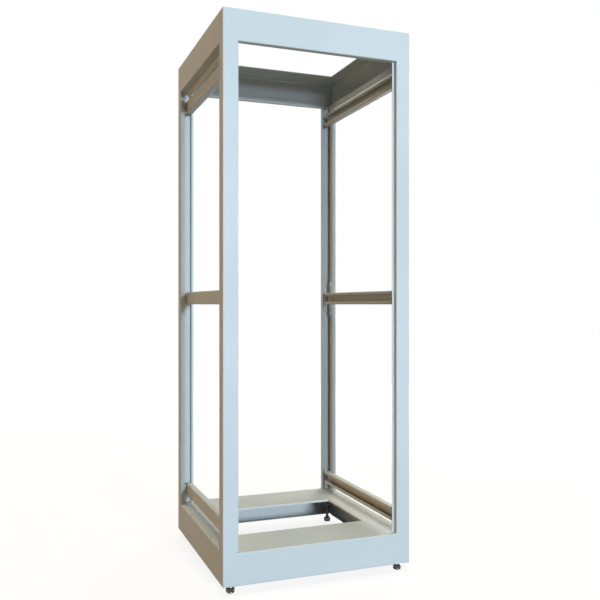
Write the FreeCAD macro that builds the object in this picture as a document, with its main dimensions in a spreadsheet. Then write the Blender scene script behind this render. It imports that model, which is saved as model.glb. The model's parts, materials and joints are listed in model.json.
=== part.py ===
import FreeCAD, Part
import math
import os
import re
import Sketcher

# Four post open frame rack.
# The frame is folded steel sheet: a base ring and a top ring of four rails each, joined by four posts,
# with three lipped channel struts on each side. Four screw-in feet carry it.
#
# Origin: middle of the footprint, on the floor. +X to the right, +Y to the rear, +Z up. Millimetres.

TINY = 1e-6

# Driving dimensions: alias, value, what it is.
SIZES = [
    ("width", 571.5, "over the side faces"),
    ("depth", 584.0, "over the front and rear faces"),
    ("height", 1575.0, "frame alone, without its feet"),
    ("foot_drop", 23.0, "floor to the underside of the frame"),
    ("sheet", 2.0, "thickness of the folded sheet"),
    ("bend", 3.0, "outer radius of every fold"),
    ("stile", 43.0, "front flange of a post"),
    ("post_side", 41.0, "side flange of a post"),
    ("post_lip", 17.0, "depth of the lip behind the stile"),
    ("post_strip", 5.5, "strip that the lip turns out to"),
    ("side_lip", 14.0, "lip at the free edge of the side flange"),
    ("side_return", 22.0, "return behind that lip"),
    ("top_web", 89.0, "face height of the top ring"),
    ("top_end_flange", 109.0, "top flange of the front and rear top rails"),
    ("top_side_flange", 47.0, "top flange of the side top rails"),
    ("top_end_return", 20.0, "bottom flange of the front and rear top rails"),
    ("top_side_return", 26.0, "bottom flange of the side top rails"),
    ("hanging_lip", 19.0, "lip under a side top rail"),
    ("base_web", 91.0, "face height of the base ring"),
    ("deck_end", 158.0, "deck depth of the front and rear base rails"),
    ("deck_side", 81.0, "deck width of the side base rails"),
    ("deck_hem", 6.0, "edge turned down round the base opening"),
    ("base_return", 16.0, "bottom flange of the base rails"),
    ("deck_hole", 7.0, "diameter of the holes in the side decks"),
    ("deck_hole_inset", 10.0, "hole centre to the side face"),
    ("deck_hole_pitch", 254.0, "between the two holes of a side deck"),
    ("strut_height", 41.3, "face height of a strut"),
    ("strut_depth", 21.0, "web to lips of a strut"),
    ("strut_lip", 9.5, "lip on each side of a strut's slot"),
    ("strut_hook", 7.0, "edge turned in at a strut's slot"),
    ("strut_inset", 22.0, "side face to the back of a strut"),
    ("strut_gap", 36.0, "front or rear face to a strut's end"),
    ("strut_low", 139.5, "frame's underside to the middle of a bottom strut"),
    ("strut_mid", 788.3, "frame's underside to the middle of a middle strut"),
    ("strut_high", 1436.0, "frame's underside to the middle of a top strut"),
    ("cleat", 3.0, "thickness of a strut bracket"),
    ("cleat_tongue", 30.0, "leg of a bracket that lies in the strut"),
    ("cleat_height", 34.0, "height of a bracket"),
    ("cleat_tall", 124.0, "height of a middle bracket where it lies on the post"),
    ("foot_inset_side", 28.0, "foot centre to the side face"),
    ("foot_inset_end", 26.0, "foot centre to the front or rear face"),
    ("foot_plate", 3.0, "thickness of a foot bracket"),
    ("foot_plate_level", 60.0, "frame's underside to the top of a foot bracket"),
    ("foot_plate_side", 76.0, "reach of a foot bracket from the side face"),
    ("foot_plate_end", 104.0, "reach of a foot bracket from the end face"),
    ("foot_plate_cut_side", 17.0, "cut corner of a foot bracket, sideways"),
    ("foot_plate_cut_end", 32.0, "cut corner of a foot bracket, lengthways"),
    ("foot_plate_flange", 12.0, "flange under a foot bracket"),
    ("stud", 10.0, "diameter of a foot's stud"),
    ("stud_play", 0.1, "bore wider than the stud, on the diameter"),
    ("stud_top", 100.0, "floor to the stud's upper end"),
    ("glide", 24.0, "diameter of a foot's round base"),
    ("glide_flat", 19.0, "diameter that meets the floor"),
    ("glide_height", 5.0, "height of the round base"),
    ("foot_hex", 22.5, "across the flats of a foot's hexagon"),
    ("foot_hex_top", 13.5, "floor to the top of the hexagon"),
    ("nut_hex", 17.0, "across the flats of a lock nut"),
    ("nut_height", 6.0, "height of a lock nut"),
    ("overrun", 40.0, "how far cutting outlines reach past the metal"),
]

doc = FreeCAD.newDocument("rack")
sheet = doc.addObject("Spreadsheet::Sheet", "Sizes")
for row, (alias, value, note) in enumerate(SIZES, start=1):
    sheet.set(f"A{row}", str(value))
    sheet.setAlias(f"A{row}", alias)
    sheet.set(f"B{row}", note)
doc.recompute()

PARTS = []


def bind(text):
    """Expression over the sheet, from one written with bare size names."""
    return re.sub(r"\b([a-z][a-z_]*)\b(?!\()", r"Sizes.\1", text)


def number(text):
    """Value that such an expression has now."""
    return float(sheet.evalExpression(bind(text)))


def new_body(label, yaw=0, x="0", y="0", z="0"):
    """Body placed at (x, y, z), turned by yaw degrees about Z."""
    body = doc.addObject("PartDesign::Body", label)
    body.Label = label
    body.Placement = FreeCAD.Placement(
        FreeCAD.Vector(number(x), number(y), number(z)),
        FreeCAD.Rotation(FreeCAD.Vector(0, 0, 1), yaw))
    for axis, text in (("x", x), ("y", y), ("z", z)):
        if text != "0":
            body.setExpression(f"Placement.Base.{axis}", bind(text))
    PARTS.append(body)
    return body


def new_sketch(body, role, level="0"):
    """Sketch on one of the body's own origin planes, raised along the plane's normal."""
    sketch = body.newObject("Sketcher::SketchObject", f"{body.Name}_outline")
    plane = next(item for item in body.Origin.OriginFeatures if item.Role == role)
    sketch.AttachmentSupport = [(plane, "")]
    sketch.MapMode = "FlatFace"
    if level != "0":
        sketch.AttachmentOffset = FreeCAD.Placement(
            FreeCAD.Vector(0, 0, number(level)), FreeCAD.Rotation())
        sketch.setExpression("AttachmentOffset.Base.z", bind(level))
    return sketch


def hold_length(sketch, constraint, text):
    """Add a constraint and tie its value to the sheet."""
    index = sketch.addConstraint(constraint)
    sketch.setExpression(f"Constraints[{index}]", bind(text))


def hold_point(sketch, item, end, x, y):
    """Hold one end of a line or arc, or a centre, at (x, y)."""
    for kind, text, axis in (("DistanceX", x, -2), ("DistanceY", y, -1)):
        place = number(text)
        if abs(place) < TINY:
            sketch.addConstraint(Sketcher.Constraint("PointOnObject", item, end, axis))
        elif place > 0:
            hold_length(sketch, Sketcher.Constraint(kind, -1, 1, item, end, place), text)
        else:
            hold_length(sketch, Sketcher.Constraint(kind, item, end, -1, 1, -place), f"-({text})")


def arc_between(start, finish, radius, left):
    """Short arc from start to finish, its centre on the left or right of the chord."""
    chord = finish - start
    rise = math.sqrt(max(radius ** 2 - (chord.Length / 2) ** 2, 0))
    side = FreeCAD.Vector(-chord.y, chord.x, 0).normalize()
    centre = (start + finish) * 0.5 + side * (rise if left else -rise)
    ends = (start, finish) if left else (finish, start)
    angles = [math.atan2(p.y - centre.y, p.x - centre.x) for p in ends]
    if angles[1] < angles[0]:
        angles[1] += 2 * math.pi
    return Part.ArcOfCircle(Part.Circle(centre, FreeCAD.Vector(0, 0, 1), radius), *angles)


def draw_outline(sketch, corners):
    """Closed outline through corners (x, y, radius, left); a radius makes the next stretch an arc."""
    points = [FreeCAD.Vector(number(x), number(y), 0) for x, y, _, _ in corners]
    ends = []
    for index, (_, _, radius, left) in enumerate(corners):
        start = points[index]
        finish = points[(index + 1) % len(points)]
        if radius is None:
            item = sketch.addGeometry(Part.LineSegment(start, finish))
        else:
            item = sketch.addGeometry(arc_between(start, finish, number(radius), left))
            hold_length(sketch, Sketcher.Constraint("Radius", item, number(radius)), radius)
        turned = radius is not None and not left
        ends.append((item, 2, 1) if turned else (item, 1, 2))
    for index, (item, first, _) in enumerate(ends):
        before, _, last = ends[index - 1]
        sketch.addConstraint(Sketcher.Constraint("Coincident", before, last, item, first))
        hold_point(sketch, item, first, corners[index][0], corners[index][1])


def draw_polygon(sketch, points):
    """Closed outline of straight lines."""
    draw_outline(sketch, [(x, y, None, False) for x, y in points])


def draw_circle(sketch, x, y, diameter):
    """Circle of the given diameter about (x, y)."""
    centre = FreeCAD.Vector(number(x), number(y), 0)
    radius = number(diameter) / 2
    item = sketch.addGeometry(Part.Circle(centre, FreeCAD.Vector(0, 0, 1), radius))
    hold_length(sketch, Sketcher.Constraint("Diameter", item, 2 * radius), diameter)
    hold_point(sketch, item, 3, x, y)


def draw_hexagon(sketch, x, y, flats):
    """Hexagon about (x, y), two of its flats parallel to X."""
    corners = []
    for step in range(6):
        turn = math.radians(60 * step)
        across = round(math.cos(turn) / math.sqrt(3), 9)
        along = round(math.sin(turn) / math.sqrt(3), 9)
        corners.append((f"{x} + ({flats}) * ({across})", f"{y} + ({flats}) * ({along})"))
    draw_polygon(sketch, corners)


def fold(face, metal_left, sharp=()):
    """Outline of a folded strip.

    face runs along one face of the metal, in straight stretches square to each other. Each fold has
    the sheet's bend radius outside and that less the thickness inside. At a corner listed in sharp
    the outer face stays square, as where a weld is filled and ground flush.
    """
    spots = [FreeCAD.Vector(number(x), number(y), 0) for x, y in face]
    ways = [(b - a).normalize() for a, b in zip(spots, spots[1:])]
    normals = [FreeCAD.Vector(-w.y, w.x, 0) * (1 if metal_left else -1) for w in ways]

    def shifted(point, amount, way):
        moved = []
        for text, part in zip(point, (way.x, way.y)):
            sign = "+" if part > 0 else "-"
            moved.append(f"{text} {sign} ({amount})" if abs(part) > 0.5 else text)
        return tuple(moved)

    near = [(*face[0], None, False)]
    far = [(*shifted(face[0], "sheet", normals[0]), None, False)]
    for index in range(1, len(face) - 1):
        came, goes = ways[index - 1], ways[index]
        turns_left = came.x * goes.y - came.y * goes.x > 0
        outside = turns_left == metal_left
        near_radius, far_radius = ("bend", "bend - sheet") if outside else ("bend - sheet", "bend")
        corner = face[index]
        if index in sharp:
            near.append((*corner, None, False))
        else:
            near.append((*shifted(corner, near_radius, -came), near_radius, turns_left))
            near.append((*shifted(corner, near_radius, goes), None, False))
        inner = shifted(shifted(corner, "sheet", normals[index - 1]), "sheet", normals[index])
        far.append((*shifted(inner, far_radius, -came), None, False))
        far.append((*shifted(inner, far_radius, goes), far_radius, not turns_left))
    near.append((*face[-1], None, False))
    far.append((*shifted(face[-1], "sheet", normals[-1]), None, False))
    return near + far[::-1]


def pad(body, sketch, length, symmetric=False, down=False):
    """Add metal along the sketch's normal."""
    feature = body.newObject("PartDesign::Pad", f"{body.Name}_pad")
    feature.Profile = sketch
    feature.SideType = "Symmetric" if symmetric else "One side"
    feature.Reversed = down
    feature.Length = number(length)
    feature.setExpression("Length", bind(length))
    body.Tip = feature
    return feature


def cut(body, sketch, length=None, symmetric=False, up=False):
    """Take metal away, below the sketch unless up; right through when no length is given."""
    feature = body.newObject("PartDesign::Pocket", f"{body.Name}_pocket")
    feature.Profile = sketch
    feature.SideType = "Symmetric" if symmetric else "One side"
    feature.Reversed = up
    if length is None:
        feature.Type = "ThroughAll"
    else:
        feature.Length = number(length)
        feature.setExpression("Length", bind(length))
    body.Tip = feature
    return feature


def signed(text, sign):
    """The expression, or its negative."""
    return text if sign > 0 else f"-({text})"


def post(label, side, end):
    """Folded post. side is -1 on the left and 1 on the right; end is -1 in front and 1 at the rear."""
    body = new_body(label, 0, signed("width / 2", side), signed("depth / 2", end), "foot_drop + base_web")
    face = [
        ("stile + post_strip", "post_lip"),
        ("stile", "post_lip"),
        ("stile", "0"),
        ("0", "0"),
        ("0", "post_side"),
        ("side_lip", "post_side"),
        ("side_lip", "post_side - side_return"),
    ]
    inward = [(signed(x, -side), signed(y, -end)) for x, y in face]
    section = new_sketch(body, "XY_Plane")
    draw_outline(section, fold(inward, metal_left=side * end < 0))
    pad(body, section, "height - base_web - top_web")


def mitre(body, sketch, half, along, across):
    """Cutting outlines for both ends of a rail: a rounded ring corner, then the mitre to (along, across)."""
    for end in (-1, 1):
        def at(x, y):
            return signed(f"{half} - ({x})", end), y

        round_middle = "bend - bend * sqrt(0.5)"
        draw_outline(sketch, [
            (*at("bend", "0"), "bend", end > 0),
            (*at(round_middle, round_middle), None, False),
            (*at("bend", "bend"), None, False),
            (*at(along, across), None, False),
            (*at(along, f"{across} + overrun"), None, False),
            (*at("0 - overrun", f"{across} + overrun"), None, False),
            (*at("0 - overrun", "0 - overrun"), None, False),
            (*at("bend", "0 - overrun"), None, False),
        ])


def round_edge(body, level, length, below):
    """Round the long outer edge at the given level between the posts, where the sheet is simply folded."""
    sketch = new_sketch(body, "YZ_Plane")
    away = f"{level} - bend" if below else f"{level} + bend"
    draw_outline(sketch, [
        ("0", away, "bend", not below),
        ("bend", level, None, False),
        ("bend", f"{level} {'+' if below else '-'} bend", None, False),
        ("0 - bend", f"{level} {'+' if below else '-'} bend", None, False),
        ("0 - bend", away, None, False),
    ])
    cut(body, sketch, length, symmetric=True)


def rail_body(label, end, yaw, level):
    """Body of a ring rail: X along the rail, Y inward from its outer face, Z up from its lower edge."""
    if end:
        y = "-depth / 2" if yaw == 0 else "depth / 2"
        return new_body(label, yaw, "0", y, level)
    x = "-width / 2" if yaw < 0 else "width / 2"
    return new_body(label, yaw, x, "0", level)


def base_rail(label, end, yaw):
    """Rail of the base ring. end says whether it runs across, at the front or rear."""
    length, deck = ("width", "deck_end") if end else ("depth", "deck_side")
    other_deck = "deck_side" if end else "deck_end"
    body = rail_body(label, end, yaw, "foot_drop")
    section = new_sketch(body, "YZ_Plane")
    face = [
        (deck, "base_web - deck_hem"),
        (deck, "base_web"),
        ("0", "base_web"),
        ("0", "0"),
        ("base_return", "0"),
    ]
    draw_outline(section, fold(face, metal_left=True, sharp=(2,)))
    pad(body, section, length, symmetric=True)
    ends = new_sketch(body, "XY_Plane")
    mitre(body, ends, f"{length} / 2", other_deck, deck)
    cut(body, ends, symmetric=True)
    covered = "stile" if end else "post_side"
    round_edge(body, "base_web", f"{length} - 2 * {covered}", below=True)
    if not end:
        holes = new_sketch(body, "XY_Plane", "base_web")
        for x in ("-deck_hole_pitch / 2", "deck_hole_pitch / 2"):
            draw_circle(holes, x, "deck_hole_inset", "deck_hole")
        cut(body, holes, "2 * sheet")


def top_rail(label, end, yaw):
    """Rail of the top ring, open above: a top flange, a face and a bottom flange."""
    length, flange, other = ("width", "top_end_flange", "top_side_flange") if end else \
        ("depth", "top_side_flange", "top_end_flange")
    body = rail_body(label, end, yaw, "foot_drop + height - top_web")
    face = [(flange, "top_web"), ("0", "top_web"), ("0", "0")]
    if end:
        face.append(("top_end_return", "0"))
    else:
        face.append(("top_side_return", "0"))
        face.append(("top_side_return", "-hanging_lip"))
    section = new_sketch(body, "YZ_Plane")
    draw_outline(section, fold(face, metal_left=True, sharp=(2,)))
    pad(body, section, length, symmetric=True)
    upper = new_sketch(body, "XY_Plane", "top_web - bend")
    mitre(body, upper, f"{length} / 2", other, flange)
    cut(body, upper, up=True)
    lower = new_sketch(body, "XY_Plane", "top_web - bend")
    mitre(body, lower, f"{length} / 2", "top_side_return", "top_side_return")
    cut(body, lower)
    covered = "stile" if end else "post_side"
    round_edge(body, "0", f"{length} - 2 * {covered}", below=False)
    if not end:
        notch = new_sketch(body, "XY_Plane")
        for sign in (-1, 1):
            draw_polygon(notch, [
                (signed(f"{length} / 2 - post_side - bend", sign), "top_end_return"),
                (signed(f"{length} / 2 + bend", sign), "top_end_return"),
                (signed(f"{length} / 2 + bend", sign), "top_side_return + overrun"),
                (signed(f"{length} / 2 - post_side - bend", sign), "top_side_return + overrun"),
            ])
        cut(body, notch)


def strut(label, side, level):
    """Lipped channel from front to rear, its slot facing the inside of the rack."""
    middle = f"foot_drop + {level}"
    body = new_body(label, 90 * side, signed("width / 2 - strut_inset", side), "0", middle)
    half = "strut_height / 2"
    face = [
        ("strut_depth - strut_hook", f"{half} - strut_lip"),
        ("strut_depth", f"{half} - strut_lip"),
        ("strut_depth", half),
        ("0", half),
        ("0", f"-{half}"),
        ("strut_depth", f"-{half}"),
        ("strut_depth", f"strut_lip - {half}"),
        ("strut_depth - strut_hook", f"strut_lip - {half}"),
    ]
    section = new_sketch(body, "YZ_Plane")
    draw_outline(section, fold(face, metal_left=True))
    pad(body, section, "depth - 2 * strut_gap", symmetric=True)


def strut_bracket(label, side, end, level, seat_height):
    """Stepped bracket: one leg on the post's return, a step past the strut's end, a leg inside the strut."""
    body = new_body(label, 0, signed("width / 2", side), signed("depth / 2", end), f"foot_drop + {level}")

    def at(x, y):
        return signed(x, -side), signed(y, -end)

    seat = new_sketch(body, "XY_Plane")
    draw_polygon(seat, [
        at("side_lip", "post_side - side_return"),
        at("side_lip + cleat", "post_side - side_return"),
        at("side_lip + cleat", "strut_gap"),
        at("side_lip", "strut_gap"),
    ])
    pad(body, seat, seat_height, symmetric=True)
    web = "strut_inset + sheet"
    tongue = new_sketch(body, "XY_Plane")
    draw_polygon(tongue, [
        at("side_lip", "strut_gap - cleat"),
        at(f"{web} + cleat", "strut_gap - cleat"),
        at(f"{web} + cleat", "strut_gap + cleat_tongue"),
        at(web, "strut_gap + cleat_tongue"),
        at(web, "strut_gap"),
        at("side_lip", "strut_gap"),
    ])
    pad(body, tongue, "cleat_height", symmetric=True)


def foot_bracket(label, side, end):
    """Corner plate inside the base ring, with a flange down each web and a bore for the foot's stud."""
    body = new_body(label, 0, signed("width / 2", side), signed("depth / 2", end),
                    "foot_drop + foot_plate_level")

    def at(x, y):
        return signed(x, -side), signed(y, -end)

    plate = new_sketch(body, "XY_Plane")
    draw_polygon(plate, [
        at("sheet", "sheet"),
        at("foot_plate_side", "sheet"),
        at("foot_plate_side", "foot_plate_end - foot_plate_cut_end"),
        at("foot_plate_side - foot_plate_cut_side", "foot_plate_end"),
        at("sheet", "foot_plate_end"),
    ])
    pad(body, plate, "foot_plate", down=True)
    corner = "sheet + 2 * foot_plate"
    for reach, across in (("foot_plate_end - bend", False), ("foot_plate_side - bend", True)):
        flange = new_sketch(body, "XY_Plane")
        outline = [
            ("sheet", corner),
            ("sheet + foot_plate", corner),
            ("sheet + foot_plate", reach),
            ("sheet", reach),
        ]
        draw_polygon(flange, [at(y, x) if across else at(x, y) for x, y in outline])
        pad(body, flange, "foot_plate + foot_plate_flange", down=True)
    bore = new_sketch(body, "XY_Plane")
    draw_circle(bore, *at("foot_inset_side", "foot_inset_end"), "stud + stud_play")
    cut(body, bore, "foot_plate")


def at_foot(side, end):
    """Place of a foot's axis, as expressions."""
    return signed("width / 2 - foot_inset_side", side), signed("depth / 2 - foot_inset_end", end)


def lock_nut(label, side, end):
    """Hexagon nut on top of the corner plate."""
    body = new_body(label, 0, *at_foot(side, end), "foot_drop + foot_plate_level")
    outline = new_sketch(body, "XY_Plane")
    draw_hexagon(outline, "0", "0", "nut_hex")
    draw_circle(outline, "0", "0", "stud + stud_play")
    pad(body, outline, "nut_height")


def levelling_foot(label, side, end):
    """Round base, hexagon and stud in one piece, turned about the stud's axis."""
    body = new_body(label, 0, *at_foot(side, end), "0")
    profile = new_sketch(body, "XZ_Plane")
    draw_polygon(profile, [
        ("0", "0"),
        ("glide_flat / 2", "0"),
        ("glide / 2", "glide_height"),
        ("stud / 2", "glide_height"),
        ("stud / 2", "stud_top"),
        ("0", "stud_top"),
    ])
    turned = body.newObject("PartDesign::Revolution", f"{body.Name}_turned")
    turned.Profile = profile
    turned.ReferenceAxis = (profile, ["V_Axis"])
    turned.Angle = 360
    body.Tip = turned
    hexagon = new_sketch(body, "XY_Plane", "glide_height")
    draw_hexagon(hexagon, "0", "0", "foot_hex")
    pad(body, hexagon, "foot_hex_top - glide_height")


SIDES = (("left", -1), ("right", 1))
ENDS = (("front", -1), ("rear", 1))
LEVELS = (
    ("bottom", "strut_low", "cleat_height"),
    ("middle", "strut_mid", "cleat_tall"),
    ("top", "strut_high", "cleat_height"),
)

for ring_rail, name in ((base_rail, "base_rail"), (top_rail, "top_rail")):
    ring_rail(f"{name}_front", True, 0)
    ring_rail(f"{name}_rear", True, 180)
    ring_rail(f"{name}_left", False, -90)
    ring_rail(f"{name}_right", False, 90)

for end_name, end in ENDS:
    for side_name, side in SIDES:
        corner = f"{end_name}_{side_name}"
        post(f"post_{corner}", side, end)
        foot_bracket(f"foot_bracket_{corner}", side, end)
        lock_nut(f"lock_nut_{corner}", side, end)
        levelling_foot(f"levelling_foot_{corner}", side, end)

for side_name, side in SIDES:
    for level_name, level, seat_height in LEVELS:
        place = f"{side_name}_{level_name}"
        strut(f"strut_{place}", side, level)
        for end_name, end in ENDS:
            strut_bracket(f"strut_bracket_{place}_{end_name}", side, end, level, seat_height)

doc.recompute()

for item in doc.Objects:
    faults = [state for state in item.State if state in ("Invalid", "Error")]
    if faults:
        raise RuntimeError(f"{item.Label}: {faults}")
    if item.TypeId == "PartDesign::Pocket":
        if item.Shape.Volume > item.BaseFeature.Shape.Volume - TINY:
            raise RuntimeError(f"{item.Label}: takes no metal away")
for body in PARTS:
    if body.Shape.isNull() or not body.Shape.isValid() or len(body.Shape.Solids) != 1:
        raise RuntimeError(f"{body.Label}: not one sound solid")

os.makedirs("parts", exist_ok=True)
for body in PARTS:
    body.Shape.exportStep(f"parts/{body.Label}.step")
print(f"{len(PARTS)} parts written")
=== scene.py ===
import contextlib
import json
import math

import bmesh
import bpy
from bpy.props import FloatProperty, FloatVectorProperty, IntProperty, PointerProperty
from mathutils import Matrix, Vector


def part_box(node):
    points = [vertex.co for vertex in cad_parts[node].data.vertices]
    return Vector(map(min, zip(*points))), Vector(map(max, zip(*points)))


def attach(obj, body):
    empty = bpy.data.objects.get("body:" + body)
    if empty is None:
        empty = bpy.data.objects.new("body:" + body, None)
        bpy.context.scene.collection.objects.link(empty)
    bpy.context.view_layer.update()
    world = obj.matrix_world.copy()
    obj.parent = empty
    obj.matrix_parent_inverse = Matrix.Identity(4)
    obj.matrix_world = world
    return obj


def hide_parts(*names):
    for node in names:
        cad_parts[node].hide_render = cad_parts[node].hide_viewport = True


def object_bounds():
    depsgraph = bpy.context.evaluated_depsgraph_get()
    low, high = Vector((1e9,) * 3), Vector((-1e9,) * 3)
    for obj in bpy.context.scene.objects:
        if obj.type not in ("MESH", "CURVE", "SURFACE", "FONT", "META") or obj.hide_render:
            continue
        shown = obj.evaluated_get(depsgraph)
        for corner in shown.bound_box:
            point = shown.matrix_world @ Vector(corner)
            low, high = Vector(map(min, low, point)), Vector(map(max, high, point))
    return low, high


bl_info = {
    "name": "Four post open frame rack",
    "version": (1, 0, 0),
    "blender": (4, 5, 0),
    "location": "View3D > Sidebar > Rack",
    "description": "Finishes, threads, screws and welds for a folded steel rack, with a studio round it",
    "category": "Object",
}

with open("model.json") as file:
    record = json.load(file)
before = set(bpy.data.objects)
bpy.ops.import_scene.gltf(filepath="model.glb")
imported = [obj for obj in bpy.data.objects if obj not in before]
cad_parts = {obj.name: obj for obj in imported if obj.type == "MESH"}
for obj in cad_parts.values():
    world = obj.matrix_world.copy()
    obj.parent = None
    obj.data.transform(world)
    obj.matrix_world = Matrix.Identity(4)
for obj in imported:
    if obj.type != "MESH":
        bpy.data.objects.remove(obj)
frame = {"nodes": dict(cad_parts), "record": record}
CAD_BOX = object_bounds()
NODES = frame["nodes"]
SIDES = (("left", -1), ("right", 1))
ENDS = (("front", -1), ("rear", 1))
CORNERS = [f"{end}_{side}" for end, _ in ENDS for side, _ in SIDES]
LEVELS = ("bottom", "middle", "top")
MM = 0.001

LOW, HIGH = CAD_BOX
HALF_WIDTH = HIGH.x
HALF_DEPTH = HIGH.y
FRAME_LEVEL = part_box("base_rail_front")[0].z
RING_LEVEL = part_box("top_rail_front")[0].z
SHEET = 2 * MM
PLATE = 3 * MM
SENSOR_WIDTH = 36.0

# Each lamp's name in the studio settings, its place, and its width and height.
LAMPS = (
    ("key", (0.35, -7.0, 1.5), (1.1, 0.4)),
    ("low", (0.35, -7.0, 0.85), (1.1, 0.28)),
    ("side", (-6.0, 0.3, 1.3), (2.2, 1.6)),
    ("top", (0, 0, 4.5), (3.0, 3.0)),
    ("back", (3.4, 3.4, 1.3), (2.4, 1.4)),
)


class RackPaint(bpy.types.PropertyGroup):
    """Paint of the folded sheet."""

    colour: FloatVectorProperty(
        name="Paint", description="Colour of the paint", subtype="COLOR", min=0, max=1,
        default=(0.63, 0.65, 0.645))
    shade: FloatVectorProperty(
        name="Second coat", description="Slightly darker tone that the paint drifts to", subtype="COLOR",
        min=0, max=1, default=(0.595, 0.615, 0.605))
    dust: FloatVectorProperty(
        name="Dust", description="Film of dust on the level faces", subtype="COLOR", min=0, max=1,
        default=(0.60, 0.58, 0.52))
    roughness: FloatProperty(
        name="Roughness", description="How soft the paint's shine is", subtype="FACTOR", min=0, max=1,
        default=0.5)
    shine: FloatProperty(
        name="Shine", description="Strength of the paint's shine", subtype="FACTOR", min=0, max=1,
        default=0.2)
    peel_size: FloatProperty(
        name="Orange peel", description="Distance between two bumps of the sprayed surface",
        subtype="DISTANCE", unit="LENGTH", min=0.0005, default=0.0026)
    peel_depth: FloatProperty(
        name="Peel depth", description="Depth of those bumps", subtype="DISTANCE", unit="LENGTH", min=0,
        default=0.00002)
    thin: FloatVectorProperty(
        name="Thin paint", description="Tone of the paint where it lies thin on an outer edge",
        subtype="COLOR", min=0, max=1, default=(0.72, 0.75, 0.76))
    edge_width: FloatProperty(
        name="Edge", description="Width of the thin paint along an outer edge", subtype="DISTANCE",
        unit="LENGTH", min=0, default=0.0022)


class RackPlating(bpy.types.PropertyGroup):
    """Plating of the nuts, screws and feet."""

    zinc: FloatVectorProperty(
        name="Zinc", description="Colour of the zinc plate", subtype="COLOR", min=0, max=1,
        default=(0.74, 0.75, 0.76))
    # Kept dark as a painted reflection: this colour stands in for chrome mirroring dark surroundings.
    nickel: FloatVectorProperty(
        name="Nickel", description="Colour of the polished feet", subtype="COLOR", min=0, max=1,
        default=(0.10, 0.097, 0.092))
    grain: FloatProperty(
        name="Grain", description="Distance between rolling marks on the plated steel",
        subtype="DISTANCE", unit="LENGTH", min=0.0001, default=0.0006)


class RackFasteners(bpy.types.PropertyGroup):
    """Feet, nuts, threads, screws and weld beads."""

    pitch: FloatProperty(
        name="Thread pitch", description="Rise of a stud's thread in one turn", subtype="DISTANCE",
        unit="LENGTH", min=0.0005, default=0.0015)
    thread_steps: IntProperty(
        name="Thread steps", description="Faces round one turn of a thread", min=12, default=28)
    round_steps: IntProperty(
        name="Round steps", description="Faces round a turned piece", min=12, default=64)
    hexagon_level: FloatProperty(
        name="Hexagon", description="Floor to the underside of a foot's hexagon", subtype="DISTANCE",
        unit="LENGTH", min=0, default=0.0050)
    hexagon_top: FloatProperty(
        name="Hexagon top", description="Floor to the top of a foot's hexagon", subtype="DISTANCE",
        unit="LENGTH", min=0, default=0.0135)
    base_radius: FloatProperty(
        name="Foot base", description="Radius of a foot's round base", subtype="DISTANCE", unit="LENGTH",
        min=0.005, default=0.0119)
    collar_radius: FloatProperty(
        name="Collar", description="Radius of the collar between a foot's hexagon and its stud",
        subtype="DISTANCE", unit="LENGTH", min=0.005, default=0.0072)
    collar_top: FloatProperty(
        name="Collar top", description="Floor to the top of that collar", subtype="DISTANCE",
        unit="LENGTH", min=0, default=0.0190)
    stud_core: FloatProperty(
        name="Stud core", description="Radius at the root of a stud's thread", subtype="DISTANCE",
        unit="LENGTH", min=0.001, default=0.0041)
    stud_crest: FloatProperty(
        name="Stud crest", description="Radius at the crest of a stud's thread", subtype="DISTANCE",
        unit="LENGTH", min=0.001, default=0.00497)
    nut_bore: FloatProperty(
        name="Nut bore", description="Radius of a lock nut's hole", subtype="DISTANCE", unit="LENGTH",
        min=0.001, default=0.00506)
    nut_mouth: FloatProperty(
        name="Nut mouth", description="Radius of that hole's countersink at a face of the nut",
        subtype="DISTANCE", unit="LENGTH", min=0.001, default=0.0058)
    screw_radius: FloatProperty(
        name="Screw head", description="Radius of a bracket screw's head", subtype="DISTANCE",
        unit="LENGTH", min=0.001, default=0.0042)
    screw_height: FloatProperty(
        name="Screw height", description="Height of a bracket screw's head", subtype="DISTANCE",
        unit="LENGTH", min=0.0005, default=0.0027)
    screw_spread: FloatProperty(
        name="Screw spread", description="From a middle strut's centre up or down to a bracket screw",
        subtype="DISTANCE", unit="LENGTH", min=0, default=0.051)
    seat_middle: FloatProperty(
        name="Seat middle", description="Back edge of a bracket to the middle of its seat",
        subtype="DISTANCE", unit="LENGTH", min=0, default=0.0085)
    bead: FloatProperty(
        name="Weld bead", description="Reach of a fillet weld on each sheet", subtype="DISTANCE",
        unit="LENGTH", min=0.001, default=0.0026)
    bead_step: FloatProperty(
        name="Weld ripple", description="Distance between two ripples of a weld", subtype="DISTANCE",
        unit="LENGTH", min=0.0005, default=0.0015)
    bead_count: IntProperty(
        name="Weld ripples", description="Ripples in one stitch of weld", min=2, default=12)
    bead_grain: FloatProperty(
        name="Weld grain", description="Size of the smallest face on a weld", subtype="DISTANCE",
        unit="LENGTH", min=0.0001, default=0.00042)


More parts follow.
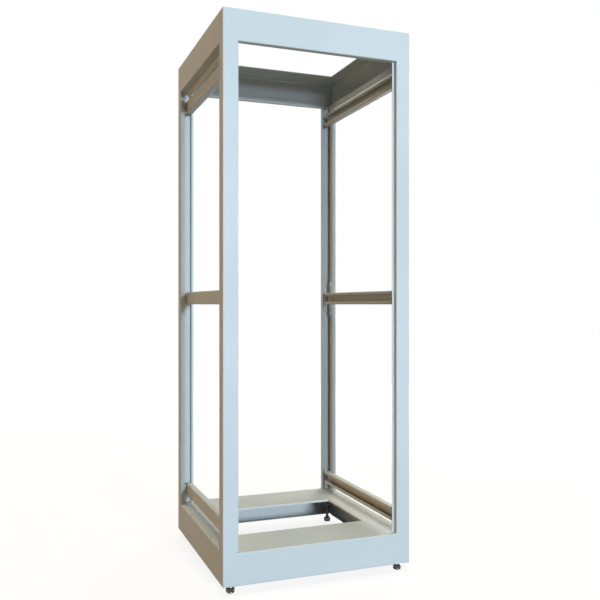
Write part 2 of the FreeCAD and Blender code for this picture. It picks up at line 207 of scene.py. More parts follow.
class RackStudio(bpy.types.PropertyGroup):
    """Camera, lamps and floor."""

    eye: FloatVectorProperty(
        name="Camera", description="Place of the camera", subtype="TRANSLATION", unit="LENGTH",
        default=(-0.8174, -2.2579, 0.7919))
    heading: FloatProperty(
        name="Heading", description="Turn of the camera to the right of straight ahead",
        subtype="ANGLE", unit="ROTATION", default=math.radians(21.0))
    lens: FloatProperty(
        name="Lens", description="Focal length in millimetres on a 36 mm sensor",
        subtype="DISTANCE_CAMERA", unit="CAMERA", min=10, default=45.0)
    shift: FloatProperty(
        name="Shift", description="Upward shift of the lens as a share of the sensor's width",
        subtype="FACTOR", min=-1, max=1, default=0.0067)
    floor: FloatVectorProperty(
        name="Floor", description="Colour of the floor", subtype="COLOR", min=0, max=1,
        default=(0.18, 0.17, 0.155))
    floor_radius: FloatProperty(
        name="Floor radius", description="Radius of the round floor", subtype="DISTANCE", unit="LENGTH",
        min=1, default=40.0)
    key_power: FloatProperty(
        name="Key", description="Power of the lamp in front", subtype="POWER", unit="POWER", min=0,
        default=418.0)
    key_colour: FloatVectorProperty(
        name="Key colour", description="Colour of the lamp in front", subtype="COLOR", min=0, max=1,
        default=(0.713, 0.866, 1.0))
    low_power: FloatProperty(
        name="Low", description="Power of the weak lamp below the one in front", subtype="POWER",
        unit="POWER", min=0, default=92.0)
    low_colour: FloatVectorProperty(
        name="Low colour", description="Colour of that weak lamp", subtype="COLOR", min=0, max=1,
        default=(0.713, 0.866, 1.0))
    side_power: FloatProperty(
        name="Side", description="Power of the lamp on the left", subtype="POWER", unit="POWER", min=0,
        default=78.0)
    side_colour: FloatVectorProperty(
        name="Side colour", description="Colour of the lamp on the left", subtype="COLOR", min=0, max=1,
        default=(1.0, 0.60, 0.20))
    top_power: FloatProperty(
        name="Top", description="Power of the lamp above", subtype="POWER", unit="POWER", min=0,
        default=116.0)
    top_colour: FloatVectorProperty(
        name="Top colour", description="Colour of the lamp above", subtype="COLOR", min=0, max=1,
        default=(1.0, 0.955, 0.73))
    back_power: FloatProperty(
        name="Back", description="Power of the lamp behind on the right", subtype="POWER", unit="POWER",
        min=0, default=150.0)
    back_colour: FloatVectorProperty(
        name="Back colour", description="Colour of the lamp behind on the right", subtype="COLOR", min=0,
        max=1, default=(1.0, 0.98, 0.93))
    floor_glow: FloatProperty(
        name="Floor glow", description="Brightness of the floor near the rack, where far out it is 1",
        subtype="FACTOR", min=0, max=1, default=0.87)
    glow_start: FloatProperty(
        name="Glow start", description="Distance at which the floor begins to turn white",
        subtype="DISTANCE", unit="LENGTH", min=0, default=0.8)
    glow_end: FloatProperty(
        name="Glow end", description="Distance at which the floor is white", subtype="DISTANCE",
        unit="LENGTH", min=0, default=5.0)
    ambient: FloatVectorProperty(
        name="Ambient", description="Even light from all round", subtype="COLOR", min=0, max=1,
        default=(0.01, 0.01, 0.01))


# Mesh helpers


def select_only(obj):
    """Make obj the one selected and active object."""
    bpy.ops.object.select_all(action="DESELECT")
    obj.select_set(True)
    bpy.context.view_layer.objects.active = obj


@contextlib.contextmanager
def editing(obj, kind="FACE"):
    """Edit mode on obj alone, with nothing selected."""
    select_only(obj)
    bpy.ops.object.mode_set(mode="EDIT")
    bpy.ops.mesh.select_mode(type=kind)
    bpy.ops.mesh.select_all(action="DESELECT")
    yield
    bpy.ops.object.mode_set(mode="OBJECT")


def pick(obj, kind, test):
    """In edit mode, select the faces, edges or verts that pass the test."""
    mesh = bmesh.from_edit_mesh(obj.data)
    for item in getattr(mesh, kind):
        item.select_set(bool(test(item)))
    mesh.select_flush_mode()
    bmesh.update_edit_mesh(obj.data)


def new_piece(name, add, **sizes):
    """Add a primitive by the given operator, with nothing else selected, and name it."""
    bpy.ops.object.select_all(action="DESELECT")
    add(**sizes)
    obj = bpy.context.object
    obj.name = name
    obj.data.name = name
    return obj


def apply_place(obj):
    """Move the object's place, turn and scale into its mesh."""
    select_only(obj)
    bpy.ops.object.transform_apply(location=True, rotation=True, scale=True)


def apply_modifier(obj, kind, **settings):
    """Add a modifier, set it and apply it."""
    select_only(obj)
    modifier = obj.modifiers.new(kind.title(), kind)
    for key, value in settings.items():
        setattr(modifier, key, value)
    bpy.ops.object.modifier_apply(modifier=modifier.name)


def combine(obj, tool, operation):
    """Cut, keep or join with the tool, which is used up."""
    apply_modifier(obj, "BOOLEAN", object=tool, operation=operation, solver="EXACT")
    bpy.data.objects.remove(tool)


def smooth(obj, degrees):
    """Smooth shading with sharp edges past the angle."""
    select_only(obj)
    bpy.ops.object.shade_smooth_by_angle(angle=math.radians(degrees))


def copy_to(source, name, matrix):
    """Copy with its own mesh, moved and turned by the matrix."""
    obj = source.copy()
    obj.data = source.data.copy()
    obj.name = name
    obj.data.name = name
    bpy.context.collection.objects.link(obj)
    obj.data.transform(matrix)
    return obj


def remove(obj):
    """Take a master away when its copies are made."""
    mesh = obj.data
    bpy.data.objects.remove(obj)
    bpy.data.meshes.remove(mesh)


def join(name, pieces):
    """One object from several."""
    bpy.ops.object.select_all(action="DESELECT")
    for piece in pieces:
        piece.select_set(True)
    bpy.context.view_layer.objects.active = pieces[0]
    bpy.ops.object.join()
    pieces[0].name = name
    pieces[0].data.name = name
    return pieces[0]


def draw_chain(name, points):
    """Open chain of edges through points (radius, height) in the plane of X and Z."""
    chain = new_piece(name, bpy.ops.mesh.primitive_plane_add, size=MM)
    with editing(chain, "VERT"):
        bpy.ops.mesh.select_all(action="SELECT")
        bpy.ops.mesh.merge(type="CENTER")
        bpy.ops.transform.translate(value=(points[0][0], 0, points[0][1]))
        for start, finish in zip(points, points[1:]):
            step = (finish[0] - start[0], 0, finish[1] - start[1])
            bpy.ops.mesh.extrude_region_move(TRANSFORM_OT_translate={"value": step})
    return chain


def lathe(name, points, steps):
    """Turned solid from a profile (radius, height) that starts and ends on the axis."""
    solid = draw_chain(name, points)
    with editing(solid, "VERT"):
        bpy.ops.mesh.select_all(action="SELECT")
        bpy.ops.mesh.spin(steps=steps, angle=2 * math.pi, center=(0, 0, 0), axis=(0, 0, 1))
        bpy.ops.mesh.select_all(action="SELECT")
        bpy.ops.mesh.remove_doubles(threshold=MM / 500)
        bpy.ops.mesh.normals_make_consistent(inside=False)
    return solid


def hexagon(name, flats, low, high, steps):
    """Hexagonal prism, corners along X, with its corners turned down at 30 degrees at both ends."""
    corner = flats / math.sqrt(3)
    flat_radius = flats * 0.48
    past_corner = corner * 1.03
    drop = (past_corner - flat_radius) * math.tan(math.radians(30))
    prism = new_piece(name, bpy.ops.mesh.primitive_cylinder_add, vertices=6, radius=corner,
                      depth=high - low, location=(0, 0, (low + high) / 2),
                      rotation=(0, 0, math.radians(30)))
    apply_place(prism)
    combine(prism, lathe("Hexagon envelope", [
        (0, low - MM), (flat_radius, low - MM), (flat_radius, low), (past_corner, low + drop),
        (past_corner, high - drop), (flat_radius, high), (flat_radius, high + MM),
        (0, high + MM)], steps), "INTERSECT")
    return prism


def thread(name, core, crest, low, high, pitch, steps):
    """Stud with a real screw thread between two levels, both ends closed and the upper one chamfered."""
    spare = 2
    turns = math.ceil((high - low) / pitch) + spare
    # One turn's outline: the share of a pitch and the radius there.
    shape = ((0, core), (0.22, core), (0.45, crest), (0.58, crest), (0.81, core), (1, core))
    stud = draw_chain(name, [(radius, share * pitch) for share, radius in shape])
    apply_modifier(stud, "SCREW", angle=2 * math.pi, screw_offset=pitch, iterations=turns, steps=steps,
                   render_steps=steps, axis="Z")
    with editing(stud, "VERT"):
        bpy.ops.mesh.select_all(action="SELECT")
        bpy.ops.mesh.remove_doubles(threshold=MM / 200)
        bpy.ops.transform.translate(value=(0, 0, low - pitch * (spare - 0.5)))
        for level, way in ((low, {"clear_inner": True}), (high, {"clear_outer": True})):
            bpy.ops.mesh.select_all(action="SELECT")
            bpy.ops.mesh.bisect(plane_co=(0, 0, level), plane_no=(0, 0, 1), use_fill=True,
                                threshold=MM / 1000, **way)
        bpy.ops.mesh.select_all(action="SELECT")
        bpy.ops.mesh.normals_make_consistent(inside=False)
    chamfer = (crest - core) * 1.3
    profile = [(0, low - MM), (crest + MM, low - MM), (crest + MM, high - chamfer - MM),
               (core - chamfer / 2, high + chamfer / 2), (0, high + chamfer / 2)]
    combine(stud, lathe("Stud envelope", profile, steps * 2), "INTERSECT")
    return stud


# Shader groups and materials


def new_group(name, inputs, outputs):
    """Empty shader group with named sockets; its input and output nodes come with it."""
    group = bpy.data.node_groups.new(name, "ShaderNodeTree")
    for socket, kind, default in inputs:
        made = group.interface.new_socket(socket, in_out="INPUT", socket_type=kind)
        if default is not None:
            made.default_value = default
    for socket, kind in outputs:
        group.interface.new_socket(socket, in_out="OUTPUT", socket_type=kind)
    return group, group.nodes.new("NodeGroupInput"), group.nodes.new("NodeGroupOutput")


def add_node(tree, kind, links=None, **settings):
    """Add a node, set its properties, and link or fill its inputs by name or number."""
    node = tree.nodes.new(kind)
    for key, value in settings.items():
        setattr(node, key, value)
    for socket, value in (links or {}).items():
        if isinstance(value, bpy.types.NodeSocket):
            tree.links.new(value, node.inputs[socket])
        else:
            node.inputs[socket].default_value = value
    return node


def math_node(tree, operation, *values):
    """Math node's output for the operation on one to three values or sockets."""
    return add_node(tree, "ShaderNodeMath", dict(enumerate(values)), operation=operation).outputs[0]


def ramp(tree, value, low, high):
    """0 below low, 1 above high, smooth between them."""
    node = add_node(tree, "ShaderNodeMapRange",
                    {"Value": value, "From Min": low, "From Max": high},
                    interpolation_type="SMOOTHSTEP")
    return node.outputs[0]


def mix_colour(tree, share, first, second):
    """Colour between first and second, each a colour or a socket."""
    first, second = (value if isinstance(value, bpy.types.NodeSocket) else (*value, 1)
                     for value in (first, second))
    return add_node(tree, "ShaderNodeMix", {0: share, 6: first, 7: second}, data_type="RGBA").outputs[2]


def noise(tree, vector, scale, detail, roughness=0.5):
    """Value noise over the vector."""
    links = {"Vector": vector, "Scale": scale, "Detail": detail, "Roughness": roughness}
    return add_node(tree, "ShaderNodeTexNoise", links).outputs[0]


def build_sprayed_surface():
    """Height of sprayed paint: orange peel with a finer grit on it."""
    tree, given, result = new_group(
        "Sprayed surface",
        [("Vector", "NodeSocketVector", None), ("Size", "NodeSocketFloat", 0.0026)],
        [("Height", "NodeSocketFloat")])
    scale = math_node(tree, "DIVIDE", 1.0, given.outputs["Size"])
    peel = noise(tree, given.outputs["Vector"], scale, detail=1.5)
    grit_scale = math_node(tree, "MULTIPLY", scale, 7.0)
    grit = noise(tree, given.outputs["Vector"], grit_scale, detail=1.0)
    height = math_node(tree, "ADD", peel, math_node(tree, "MULTIPLY", grit, 0.12))
    tree.links.new(height, result.inputs["Height"])
    return tree


def build_drift():
    """Broad and fine tone variation, as masks from 0 to 1."""
    tree, given, result = new_group(
        "Tone drift", [("Vector", "NodeSocketVector", None), ("Seed", "NodeSocketVector", None)],
        [("Broad", "NodeSocketFloat"), ("Fine", "NodeSocketFloat")])
    moved = add_node(tree, "ShaderNodeVectorMath", {0: given.outputs["Vector"], 1: given.outputs["Seed"]},
                     operation="ADD").outputs[0]
    broad = ramp(tree, noise(tree, moved, scale=4.0, detail=3.0), 0.3, 0.7)
    fine = ramp(tree, noise(tree, moved, scale=90.0, detail=4.0, roughness=0.6), 0.3, 0.7)
    tree.links.new(broad, result.inputs["Broad"])
    tree.links.new(fine, result.inputs["Fine"])
    return tree


def build_outer_edges():
    """Mask along the outer edges of the rack, where paint lies thin and is rubbed first."""
    tree, given, result = new_group(
        "Outer edges",
        [("Vector", "NodeSocketVector", None), ("Width", "NodeSocketFloat", 0.002)],
        [("Mask", "NodeSocketFloat")])
    place = add_node(tree, "ShaderNodeSeparateXYZ", {0: given.outputs["Vector"]}).outputs
    middle = (FRAME_LEVEL + HIGH.z) / 2
    gaps = []
    for axis, centre, half in ((0, 0.0, HALF_WIDTH), (1, 0.0, HALF_DEPTH), (2, middle, HIGH.z - middle)):
        away = math_node(tree, "ABSOLUTE", math_node(tree, "SUBTRACT", place[axis], centre))
        gaps.append(math_node(tree, "SUBTRACT", half, away))
    pairs = [math_node(tree, "MAXIMUM", gaps[a], gaps[b]) for a, b in ((0, 1), (1, 2), (0, 2))]
    nearest = math_node(tree, "MINIMUM", math_node(tree, "MINIMUM", pairs[0], pairs[1]), pairs[2])
    ragged = noise(tree, given.outputs["Vector"], scale=160.0, detail=3.0)
    reach = math_node(tree, "MULTIPLY", given.outputs["Width"], math_node(tree, "ADD", ragged, 0.5))
    share = math_node(tree, "DIVIDE", nearest, reach)
    mask = math_node(tree, "SUBTRACT", 1.0, ramp(tree, share, 0.4, 1.0))
    tree.links.new(mask, result.inputs["Mask"])
    return tree


def build_dust():
    """Mask of the dust that settles on level faces."""
    tree, given, result = new_group(
        "Settled dust", [("Vector", "NodeSocketVector", None)], [("Mask", "NodeSocketFloat")])
    normal = add_node(tree, "ShaderNodeNewGeometry").outputs["Normal"]
    upward = add_node(tree, "ShaderNodeSeparateXYZ", {0: normal}).outputs[2]
    level = ramp(tree, upward, 0.8, 0.98)
    film = noise(tree, given.outputs["Vector"], scale=9.0, detail=5.0, roughness=0.65)
    patches = ramp(tree, film, 0.25, 0.75)
    tree.links.new(math_node(tree, "MULTIPLY", level, patches), result.inputs["Mask"])
    return tree


def build_groups():
    """The shader groups that the materials share, by name."""
    return {
        "spray": build_sprayed_surface(),
        "drift": build_drift(),
        "edges": build_outer_edges(),
        "dust": build_dust(),
    }


def link_group(tree, group, links):
    """Outputs of a group node whose tree is set before its inputs are linked."""
    return add_node(tree, "ShaderNodeGroup", links, node_tree=group).outputs


def new_material(name):
    """Material with only a Principled BSDF, its Object coordinates and its output."""
    material = bpy.data.materials.new(name)
    material.use_nodes = True
    tree = material.node_tree
    tree.nodes.clear()
    shader = tree.nodes.new("ShaderNodeBsdfPrincipled")
    output = tree.nodes.new("ShaderNodeOutputMaterial")
    tree.links.new(shader.outputs[0], output.inputs["Surface"])
    place = tree.nodes.new("ShaderNodeTexCoord").outputs["Object"]
    return material, tree, shader, place


def add_bump(tree, shader, height, distance):
    """Bump of the given depth on the shader's normal."""
    bump = add_node(tree, "ShaderNodeBump", {"Height": height, "Distance": distance, "Strength": 1.0})
    tree.links.new(bump.outputs[0], shader.inputs["Normal"])


def vary_roughness(tree, shader, mask, least, spread):
    """Roughness from the least value, up by the spread where the mask is 1."""
    tree.links.new(math_node(tree, "MULTIPLY_ADD", mask, spread, least), shader.inputs["Roughness"])


def darker(colour, share):
    """The colour at a share of its brightness."""
    return tuple(part * share for part in colour)


def paint_material(groups, paint):
    """Sprayed satin paint: peel, a drifting tone, thin edges and dust on what is level."""
    material, tree, shader, place = new_material("Frame paint")
    drift = link_group(tree, groups["drift"], {"Vector": place, "Seed": (1.7, 4.2, 0.3)})
    edges = link_group(tree, groups["edges"], {"Vector": place, "Width": paint.edge_width})
    dust = link_group(tree, groups["dust"], {"Vector": place})
    # Each layer's mask, how much of the coat below it covers at most, and its tone.
    layers = ((drift["Broad"], 1.0, paint.shade), (drift["Fine"], 0.25, paint.shade),
              (edges["Mask"], 0.3, paint.thin), (dust["Mask"], 0.35, paint.dust))
    coat = paint.colour
    for mask, cover, tone in layers:
        coat = mix_colour(tree, math_node(tree, "MULTIPLY", mask, cover), coat, tone)
    tree.links.new(coat, shader.inputs["Base Color"])
    # The fine drift takes the roughness as far over its set value as under it.
    fine_change, dust_change, edge_change = 0.06, 0.15, -0.1
    rough = math_node(tree, "MULTIPLY_ADD", drift["Fine"], fine_change,
                      paint.roughness - fine_change / 2)
    rough = math_node(tree, "MULTIPLY_ADD", dust["Mask"], dust_change, rough)
    rough = math_node(tree, "MULTIPLY_ADD", edges["Mask"], edge_change, rough)
    tree.links.new(rough, shader.inputs["Roughness"])
    shader.inputs["Specular IOR Level"].default_value = paint.shine
    spray = link_group(tree, groups["spray"], {"Vector": place, "Size": paint.peel_size})
    add_bump(tree, shader, spray["Height"], paint.peel_depth)
    return material


def zinc_material(groups, plating):
    """Zinc plate over drawn steel: fine lines one way, cloudy patches in its shine."""
    material, tree, shader, place = new_material("Bright zinc")
    stretched = add_node(tree, "ShaderNodeMapping", {"Vector": place, "Scale": (1.0, 1.0, 0.2)}).outputs[0]
    lines = noise(tree, stretched, 1.0 / plating.grain, detail=3.0, roughness=0.6)
    drift = link_group(tree, groups["drift"], {"Vector": place, "Seed": (0.4, 0.9, 2.6)})
    dark = darker(plating.zinc, 0.72)
    cloud = mix_colour(tree, drift["Fine"], plating.zinc, dark)
    streak = mix_colour(tree, math_node(tree, "MULTIPLY", lines, 0.4), cloud, dark)
    tree.links.new(streak, shader.inputs["Base Color"])
    shader.inputs["Metallic"].default_value = 1.0
    vary_roughness(tree, shader, drift["Fine"], least=0.26, spread=0.16)
    add_bump(tree, shader, lines, distance=0.01 * MM)
    return material


def painted_dark_nickel_material(groups, plating):
    """Dark polished plating of the feet, with turning marks and a few dull spots; its dark colour is a
    painted dark reflection, as of chrome mirroring dark surroundings.
    """
    material, tree, shader, place = new_material("Polished nickel")
    drift = link_group(tree, groups["drift"], {"Vector": place, "Seed": (3.1, 0.2, 0.8)})
    # The base colour is a painted dark reflection; the darker spots mixed into it are dull patches of the
    # plating.
    dark = darker(plating.nickel, 0.6)
    cloud = mix_colour(tree, math_node(tree, "MULTIPLY", drift["Fine"], 0.5), plating.nickel, dark)
    tree.links.new(cloud, shader.inputs["Base Color"])
    shader.inputs["Metallic"].default_value = 1.0
    vary_roughness(tree, shader, drift["Fine"], least=0.05, spread=0.06)
    marks = add_node(tree, "ShaderNodeMapping", {"Vector": place, "Scale": (1.0, 1.0, 12.0)}).outputs[0]
    add_bump(tree, shader, noise(tree, marks, scale=500.0, detail=2.0), distance=0.006 * MM)
    return material


def build_finishes(scene):
    """All finishes of the rack by the record's slot names."""
    groups = build_groups()
    plating = scene.rack_plating
    return {
        "frame_paint": paint_material(groups, scene.rack_paint),
        "bright_zinc": zinc_material(groups, plating),
        "polished_foot": painted_dark_nickel_material(groups, plating),
    }


# Filled by the finishes operator, before any piece needs one.
FINISHES = {}


def finish_piece(obj, body, slot, *replaced):
    """Give a new piece its finish, its body and the CAD nodes that it stands for."""
    obj.data.materials.clear()
    obj.data.materials.append(FINISHES[slot])
    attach(obj, body)
    if replaced:
        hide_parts(*replaced)


# Shapes and places of the small parts


def seat(node):
    """Shift from the origin to the middle of a node's underside."""
    low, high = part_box(node)
    return Matrix.Translation(((low.x + high.x) / 2, (low.y + high.y) / 2, low.z))


def pan_head(sizes):
    """Screw head with its flat back at the origin, facing up Z, and a cross recess that narrows."""
    radius, height = sizes.screw_radius, sizes.screw_height
    head = lathe("Screw", [
        (0, 0), (radius * 0.97, 0), (radius, height * 0.08), (radius, height * 0.38),
        (radius * 0.94, height * 0.6), (radius * 0.8, height * 0.8), (radius * 0.58, height * 0.93),
        (radius * 0.3, height * 0.99), (0, height)], sizes.round_steps // 2)
    slot = (radius * 1.15, radius * 0.24, height * 0.9)
    for turn in (0, math.pi / 2):
        blade = new_piece("Recess", bpy.ops.mesh.primitive_cube_add, size=1)
        with editing(blade):
            bpy.ops.mesh.select_all(action="SELECT")
            bpy.ops.transform.resize(value=slot)
            pick(blade, "faces", lambda face: face.normal.z < -0.5)
            bpy.ops.transform.resize(value=(0.35, 0.6, 1))
            bpy.ops.mesh.select_all(action="SELECT")
            bpy.ops.transform.translate(value=(0, 0, height * 0.85))
            bpy.ops.transform.rotate(value=turn, orient_axis="Z", center_override=(0, 0, 0))
        combine(head, blade, "DIFFERENCE")
    smooth(head, 35)
    return head


def weld_stitch(sizes):
    """Fillet along X from the origin, in the corner where Y and Z are both over 0."""
    reach = sizes.bead
    stitch = new_piece("Stitch", bpy.ops.mesh.primitive_uv_sphere_add, segments=20, ring_count=12,
                       radius=reach * 0.8, location=(0, reach * 0.2, reach * 0.2))
    with editing(stitch):
        bpy.ops.mesh.select_all(action="SELECT")
        bpy.ops.transform.resize(value=(0.9, 1, 1))
    apply_place(stitch)
    apply_modifier(stitch, "ARRAY", count=sizes.bead_count, use_relative_offset=False,
                   use_constant_offset=True, constant_offset_displace=(sizes.bead_step, 0, 0))
    apply_modifier(stitch, "REMESH", mode="VOXEL", voxel_size=sizes.bead_grain)
    with editing(stitch):
        for normal in ((0, 1, 0), (0, 0, 1)):
            bpy.ops.mesh.select_all(action="SELECT")
            bpy.ops.mesh.bisect(plane_co=(0, 0, 0), plane_no=normal, use_fill=True, clear_inner=True)
    smooth(stitch, 60)
    return stitch


def axes_matrix(place, along, first, second):
    """Matrix that puts a stitch at a place, along one way, with its legs on the two given ones."""
    return Matrix.Translation(place) @ Matrix((along, first, second)).transposed().to_4x4()


def ring_corner_spots(side, end, plate, length):
    """Upright stitches in one corner: two in the base ring below the foot plate, three in the top ring."""
    x = side * (HALF_WIDTH - SHEET)
    y = end * (HALF_DEPTH - SHEET)
    levels = [FRAME_LEVEL + 5 * MM, plate - length - 3 * MM]
    levels += [RING_LEVEL + rise for rise in (6 * MM, 34 * MM, 62 * MM)]
    return [axes_matrix((x, y, level), (0, 0, 1), (-side, 0, 0), (0, -end, 0)) for level in levels]


def foot_plate_spots(side, end, plate, length):
    """Two level stitches on each web of the base ring, under the flanges of a foot plate."""
    x = side * (HALF_WIDTH - SHEET)
    y = end * (HALF_DEPTH - SHEET)
    spots = []
    # From the corner of the rack to a stitch on the side web, and to one on the end web.
    for along, across in ((14 * MM, 10 * MM), (50 * MM, 46 * MM)):
        start_y = end * (HALF_DEPTH - along - (length if end > 0 else 0))
        start_x = side * (HALF_WIDTH - across - (length if side > 0 else 0))
        spots.append(axes_matrix((x, start_y, plate), (0, 1, 0), (-side, 0, 0), (0, 0, -1)))
        spots.append(axes_matrix((start_x, y, plate), (1, 0, 0), (0, -end, 0), (0, 0, -1)))
    return spots


def strut_spot(node, side, end, length):
    """Upright stitch where a bracket's leg ends on the web of its strut."""
    low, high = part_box(node)
    x = side * (min(abs(low.x), abs(high.x)) + PLATE)
    y = end * min(abs(low.y), abs(high.y))
    z = (low.z + high.z - length) / 2
    return axes_matrix((x, y, z), (0, 0, 1), (-side, 0, 0), (0, -end, 0))


# Camera, lamps, sky and floor


def add_camera(scene, studio):
    """Level camera with a plain lens."""
    data = bpy.data.cameras.new("Camera")
    data.lens = studio.lens
    data.sensor_width = SENSOR_WIDTH
    data.shift_y = studio.shift
    camera = bpy.data.objects.new("Camera", data)
    camera.location = studio.eye
    camera.rotation_euler = (math.pi / 2, 0, -studio.heading)
    scene.collection.objects.link(camera)
    scene.camera = camera


def add_lamp(name, place, aim, size, power, colour):
    """Rectangular soft lamp that points at the aim."""
    data = bpy.data.lights.new(name, "AREA")
    data.shape = "RECTANGLE"
    data.size, data.size_y = size
    data.energy = power
    data.color = colour
    lamp = bpy.data.objects.new(name, data)
    lamp.location = place
    lamp.rotation_euler = (aim - Vector(place)).to_track_quat("-Z", "Y").to_euler()
    bpy.context.scene.collection.objects.link(lamp)


def seen_directly(tree):
    """1 where the camera, a mirror or glass sees the surface, 0 where it only lights things."""
    path = tree.nodes.new("ShaderNodeLightPath").outputs
    either = math_node(tree, "MAXIMUM", path["Is Camera Ray"], path["Is Glossy Ray"])
    return math_node(tree, "MAXIMUM", either, path["Is Transmission Ray"])


def add_sky(scene, studio):
    """White surroundings to look at, and an even light from them."""
    world = bpy.data.worlds.new("Studio")
    world.use_nodes = True
    scene.world = world
    tree = world.node_tree
    tree.nodes.clear()
    lit = add_node(tree, "ShaderNodeBackground", {"Color": (*studio.ambient, 1), "Strength": 1.0})
    white = add_node(tree, "ShaderNodeBackground", {"Color": (1, 1, 1, 1), "Strength": 1.0})
    mixed = add_node(tree, "ShaderNodeMixShader",
                     {0: seen_directly(tree), 1: lit.outputs[0], 2: white.outputs[0]})
    output = tree.nodes.new("ShaderNodeOutputWorld")
    tree.links.new(mixed.outputs[0], output.inputs["Surface"])


def add_floor(studio):
    """Round floor that keeps the rack's shadow and, where it is looked at, turns white further out."""
    floor = new_piece("Floor", bpy.ops.mesh.primitive_circle_add, vertices=96,
                      radius=studio.floor_radius, fill_type="NGON", location=(0, 0, LOW.z))
    apply_place(floor)
    material = bpy.data.materials.new("Studio floor")
    material.use_nodes = True
    tree = material.node_tree
    tree.nodes.clear()
    diffuse = add_node(tree, "ShaderNodeBsdfDiffuse", {"Color": (*studio.floor, 1)})
    place = tree.nodes.new("ShaderNodeTexCoord").outputs["Object"]
    away = add_node(tree, "ShaderNodeVectorMath", {0: place}, operation="LENGTH").outputs["Value"]
    glow = math_node(tree, "MULTIPLY_ADD", ramp(tree, away, studio.glow_start, studio.glow_end),
                     1 - studio.floor_glow, studio.floor_glow)
    strength = math_node(tree, "MULTIPLY", glow, seen_directly(tree))
    white = add_node(tree, "ShaderNodeEmission", {"Color": (1, 1, 1, 1), "Strength": strength})
    both = add_node(tree, "ShaderNodeAddShader", {0: diffuse.outputs[0], 1: white.outputs[0]})
    output = tree.nodes.new("ShaderNodeOutputMaterial")
    tree.links.new(both.outputs[0], output.inputs["Surface"])
    floor.data.materials.append(material)


# Operators


class RACK_OT_finishes(bpy.types.Operator):
    """Paint and plate the frame's own parts"""

    bl_idname = "rack.finishes"
    bl_label = "Finishes"

    def execute(self, context):
        FINISHES.update(build_finishes(context.scene))
        for part in frame["record"]["subparts"]:
            mesh = NODES[part["node"]].data
            mesh.materials.clear()
            mesh.materials.append(FINISHES[part["material_slot"]])
        return {"FINISHED"}


class RACK_OT_feet(bpy.types.Operator):
    """Turn one levelling foot, with its hexagon and threaded stud, and copy it to the corners"""

    bl_idname = "rack.feet"
    bl_label = "Levelling feet"

    def execute(self, context):
        sizes = context.scene.rack_fasteners
        low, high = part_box("levelling_foot_front_left")
        flats = (high.x - low.x) * math.cos(math.radians(30))
        level = sizes.hexagon_level
        base = sizes.base_radius
        foot = lathe("Foot", [
            (0, 0), (base - 2.2 * MM, 0), (base - 1.6 * MM, 0.25 * MM), (base - 0.4 * MM, 1.9 * MM),
            (base, 3.0 * MM), (base - 0.6 * MM, level + 0.2 * MM), (base - 1.0 * MM, level + 0.6 * MM),
            (0, level + 0.6 * MM)], sizes.round_steps)
        combine(foot, hexagon("Foot hexagon", flats, level + 0.3 * MM, sizes.hexagon_top,
                              sizes.round_steps), "UNION")
        collar = sizes.collar_radius
        combine(foot, lathe("Collar", [
            (0, level), (collar, level), (collar, sizes.hexagon_top + 1.5 * MM),
            (collar - 1.6 * MM, sizes.collar_top - 0.4 * MM), (collar - 2.0 * MM, sizes.collar_top),
            (0, sizes.collar_top)], sizes.round_steps), "UNION")
        stud = thread("Stud", sizes.stud_core, sizes.stud_crest, sizes.collar_top - MM, high.z,
                      sizes.pitch, sizes.thread_steps)
        foot = join("Foot", [foot, stud])
        smooth(foot, 32)
        for corner in CORNERS:
            node = f"levelling_foot_{corner}"
            piece = copy_to(foot, f"threaded_foot_{corner}", seat(node))
            finish_piece(piece, f"foot_{corner}", "polished_foot", node)
        remove(foot)
        return {"FINISHED"}


class RACK_OT_nuts(bpy.types.Operator):
    """Shape one lock nut with turned-down corners and a countersunk bore, and copy it to the corners"""

    bl_idname = "rack.nuts"
    bl_label = "Lock nuts"

    def execute(self, context):
        sizes = context.scene.rack_fasteners
        low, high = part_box("lock_nut_front_left")
        height = high.z - low.z
        nut = hexagon("Nut", high.y - low.y, 0, height, sizes.round_steps)
        bore, mouth = sizes.nut_bore, sizes.nut_mouth
        combine(nut, lathe("Bore", [
            (0, -MM), (mouth, -MM), (mouth, 0), (bore, mouth - bore), (bore, height - mouth + bore),
            (mouth, height), (mouth, height + MM), (0, height + MM)], sizes.round_steps), "DIFFERENCE")
        smooth(nut, 32)
        for corner in CORNERS:
            node = f"lock_nut_{corner}"
            piece = copy_to(nut, f"chamfered_nut_{corner}", seat(node))
            finish_piece(piece, "frame", "bright_zinc", node)
        remove(nut)
        return {"FINISHED"}


class RACK_OT_screws(bpy.types.Operator):
    """Shape one pan-head screw with a cross recess and put it on every strut bracket"""

    bl_idname = "rack.screws"
    bl_label = "Bracket screws"

    def execute(self, context):
        sizes = context.scene.rack_fasteners
        screw = pan_head(sizes)
        for side, side_sign in SIDES:
            turn = Matrix.Rotation(-side_sign * math.pi / 2, 4, "Y")
            for end, end_sign in ENDS:
                for level in LEVELS:
                    low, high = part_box(f"strut_bracket_{side}_{level}_{end}")
                    x = side_sign * (max(abs(low.x), abs(high.x)) - PLATE)
                    y = end_sign * (max(abs(low.y), abs(high.y)) - sizes.seat_middle)
                    middle = (low.z + high.z) / 2
                    spread = sizes.screw_spread if level == "middle" else 0
                    for count, z in enumerate(sorted({middle - spread, middle + spread}), start=1):
                        piece = copy_to(screw, f"bracket_screw_{side}_{level}_{end}_{count}",
                                        Matrix.Translation((x, y, z)) @ turn)
                        finish_piece(piece, "frame", "bright_zinc")
        remove(screw)
        return {"FINISHED"}


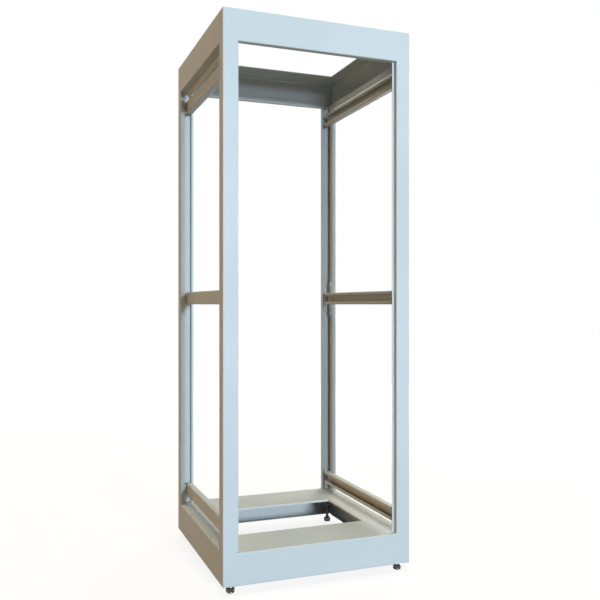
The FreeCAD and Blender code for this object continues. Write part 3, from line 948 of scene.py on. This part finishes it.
class RACK_OT_welds(bpy.types.Operator):
    """Lay stitches of rippled weld inside the ring corners, under the foot plates and in the struts"""

    bl_idname = "rack.welds"
    bl_label = "Welds"

    def execute(self, context):
        sizes = context.scene.rack_fasteners
        stitch = weld_stitch(sizes)
        length = sizes.bead_step * (sizes.bead_count - 1)
        spots = {"ring": [], "foot_plate": [], "strut": []}
        for side, side_sign in SIDES:
            for end, end_sign in ENDS:
                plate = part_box(f"foot_bracket_{end}_{side}")[0].z
                spots["ring"] += ring_corner_spots(side_sign, end_sign, plate, length)
                spots["foot_plate"] += foot_plate_spots(side_sign, end_sign, plate, length)
                for level in LEVELS:
                    node = f"strut_bracket_{side}_{level}_{end}"
                    spots["strut"].append(strut_spot(node, side_sign, end_sign, length))
        for group, matrices in spots.items():
            beads = [copy_to(stitch, f"Bead {count}", matrix) for count, matrix in enumerate(matrices)]
            piece = join(f"{group}_welds", beads)
            with editing(piece):
                bpy.ops.mesh.select_all(action="SELECT")
                bpy.ops.mesh.normals_make_consistent(inside=False)
            finish_piece(piece, "frame", "frame_paint")
        remove(stitch)
        return {"FINISHED"}


class RACK_OT_studio(bpy.types.Operator):
    """Set up the camera, the lamps, the sky and the floor"""

    bl_idname = "rack.studio"
    bl_label = "Studio"

    def execute(self, context):
        studio = context.scene.rack_studio
        add_camera(context.scene, studio)
        add_floor(studio)
        add_sky(context.scene, studio)
        aim = Vector((0, 0, (FRAME_LEVEL + HIGH.z) / 2))
        for name, place, size in LAMPS:
            add_lamp(name.title(), place, aim, size, getattr(studio, f"{name}_power"),
                     getattr(studio, f"{name}_colour"))
        context.scene.view_settings.view_transform = "Standard"
        return {"FINISHED"}


class RACK_PT_panel(bpy.types.Panel):
    """Sizes, colours and steps of the rack"""

    bl_idname = "RACK_PT_panel"
    bl_label = "Four post rack"
    bl_space_type = "VIEW_3D"
    bl_region_type = "UI"
    bl_category = "Rack"

    def draw(self, context):
        for group in GROUPS:
            box = self.layout.box()
            settings = getattr(context.scene, group)
            for name in settings.__annotations__:
                box.prop(settings, name)
        for operator in OPERATORS:
            self.layout.operator(operator.bl_idname)


GROUPS = {
    "rack_paint": RackPaint,
    "rack_plating": RackPlating,
    "rack_fasteners": RackFasteners,
    "rack_studio": RackStudio,
}
OPERATORS = (
    RACK_OT_finishes,
    RACK_OT_feet,
    RACK_OT_nuts,
    RACK_OT_screws,
    RACK_OT_welds,
    RACK_OT_studio,
)


CLASSES = (*GROUPS.values(), *OPERATORS, RACK_PT_panel)


def register():
    """Add the settings, the operators and the panel."""
    for kind in CLASSES:
        bpy.utils.register_class(kind)
    for name, kind in GROUPS.items():
        setattr(bpy.types.Scene, name, PointerProperty(type=kind))


def unregister():
    """Take them away again."""
    for name in GROUPS:
        delattr(bpy.types.Scene, name)
    for kind in reversed(CLASSES):
        bpy.utils.unregister_class(kind)


def main():
    """Build the rack's looks and its studio."""
    register()
    for operator in OPERATORS:
        family, step = operator.bl_idname.split(".")
        getattr(getattr(bpy.ops, family), step)()


if __name__ == "__main__":
    main()
